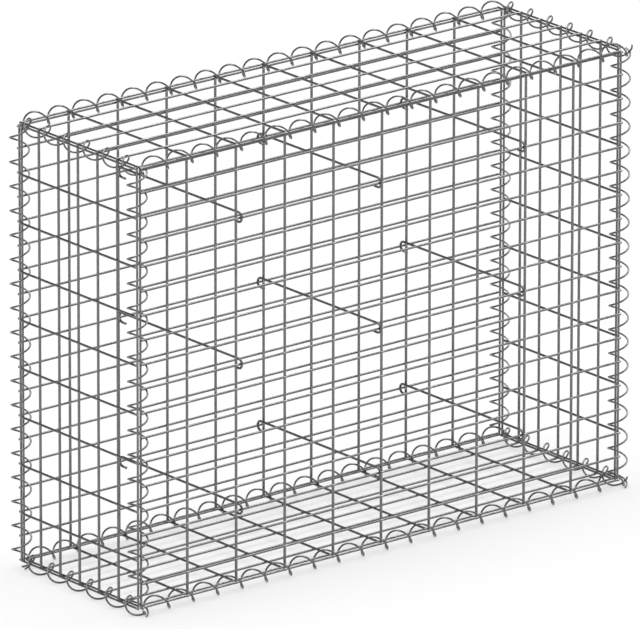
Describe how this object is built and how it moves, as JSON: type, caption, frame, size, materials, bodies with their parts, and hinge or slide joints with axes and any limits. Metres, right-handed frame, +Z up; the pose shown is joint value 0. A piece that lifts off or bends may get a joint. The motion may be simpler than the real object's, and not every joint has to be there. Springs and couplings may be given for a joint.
{
  "type": "gabion wall",
  "caption": "Empty gabion basket of welded galvanised wire mesh, bound along every edge by spirals, with hooked ties from front to back.",
  "frame": {"origin": "centre of the base on the floor, under the lowest turns of the base spirals", "axes": "+X along the length to the right as seen from the front, -Y out of the front, +Z up"},
  "size_m": [1.0324, 0.3344, 0.7621],
  "materials": {
    "mesh_wire": "satin",
    "spiral_wire": "satin",
    "tie_wire": "satin"
  },
  "bodies": {
    "root": {"front_panel": "mesh_wire", "back_panel": "mesh_wire", "left_end_panel": "mesh_wire", "right_end_panel": "mesh_wire", "lid_panel": "mesh_wire", "base_panel": "mesh_wire", "spiral_top_front": "spiral_wire", "spiral_top_back": "spiral_wire", "spiral_base_front": "spiral_wire", "spiral_base_back": "spiral_wire", "spiral_top_left": "spiral_wire", "spiral_top_right": "spiral_wire", "spiral_base_left": "spiral_wire", "spiral_base_right": "spiral_wire", "spiral_corner_front_left": "spiral_wire", "spiral_corner_front_right": "spiral_wire", "spiral_corner_back_left": "spiral_wire", "spiral_corner_back_right": "spiral_wire", "tie_low_left": "tie_wire", "tie_low_middle": "tie_wire", "tie_low_right": "tie_wire", "tie_mid_left": "tie_wire", "tie_mid_middle": "tie_wire", "tie_mid_right": "tie_wire", "tie_high_left": "tie_wire", "tie_high_middle": "tie_wire", "tie_high_right": "tie_wire"}
  },
  "joints": []
}
